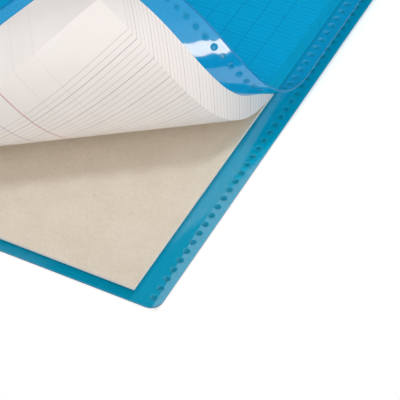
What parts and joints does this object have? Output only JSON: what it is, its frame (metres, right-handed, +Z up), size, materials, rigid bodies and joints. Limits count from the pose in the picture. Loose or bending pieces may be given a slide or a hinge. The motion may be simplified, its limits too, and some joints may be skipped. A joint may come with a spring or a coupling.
{
  "type": "stapled writing pad",
  "caption": "Head-stapled writing pad with ruled leaves, a grey backing board and an overhanging translucent plastic cover, its tail corner rolled up.",
  "frame": {"origin": "middle of the pad's footprint, on the surface that it lies on", "axes": "+Y towards the stapled head, +X towards the pad's right side as it is read, +Z up out of the front cover"},
  "size_m": [0.23, 0.3226, 0.0573],
  "materials": {
    "cover": "translucent blue polypropylene sheet, glossy, embossed with a row of dots along its sides",
    "front_cover": "translucent blue polypropylene sheet, glossy, embossed with a row of dots along its sides",
    "board": "uncoated grey board with fine darker flecks",
    "paper": "uncoated off-white writing paper with fine printed ruling",
    "wire": "bright galvanised staple wire"
  },
  "bodies": {
    "pad_base": {"wraparound_cover": "cover", "backing_board": "board", "stub_block": "paper", "staple_1": "wire", "staple_2": "wire", "staple_3": "wire"},
    "leaves": {"leaf_01": "paper", "leaf_02": "paper", "leaf_03": "paper", "leaf_04": "paper", "leaf_05": "paper", "leaf_06": "paper", "leaf_07": "paper", "leaf_08": "paper", "leaf_09": "paper", "leaf_10": "paper", "leaf_11": "paper", "leaf_12": "paper", "leaf_13": "paper", "leaf_14": "paper", "leaf_15": "paper", "leaf_16": "paper", "leaf_17": "paper", "leaf_18": "paper", "leaf_19": "paper", "leaf_20": "paper", "leaf_21": "paper", "leaf_22": "paper", "leaf_23": "paper", "leaf_24": "paper", "leaf_25": "paper", "leaf_26": "paper", "leaf_27": "paper", "leaf_28": "paper", "leaf_29": "paper", "leaf_30": "paper", "leaf_31": "paper", "leaf_32": "paper", "leaf_33": "paper", "leaf_34": "paper", "leaf_35": "paper", "leaf_36": "paper", "leaf_37": "paper", "leaf_38": "paper", "leaf_39": "paper", "leaf_40": "paper", "leaf_41": "paper", "leaf_42": "paper", "leaf_43": "paper", "leaf_44": "paper", "leaf_45": "paper", "leaf_46": "paper", "leaf_47": "paper", "leaf_48": "paper", "leaf_49": "paper", "leaf_50": "paper"},
    "front_cover": {"front_cover": "front_cover"}
  },
  "joints": [
    {"name": "leaves_turn", "type": "hinge", "parent": "pad_base", "child": "leaves", "pos_m": [0, 0.1398, 0.0094], "axis": [-1, 0, 0], "range_deg": [0, 160]},
    {"name": "front_cover_turn", "type": "hinge", "parent": "pad_base", "child": "front_cover", "pos_m": [0, 0.1398, 0.0094], "axis": [-1, 0, 0], "range_deg": [0, 160]}
  ],
  "couplings": [
    {"joint": "front_cover_turn", "follows": "leaves_turn", "ratio": 1}
  ]
}
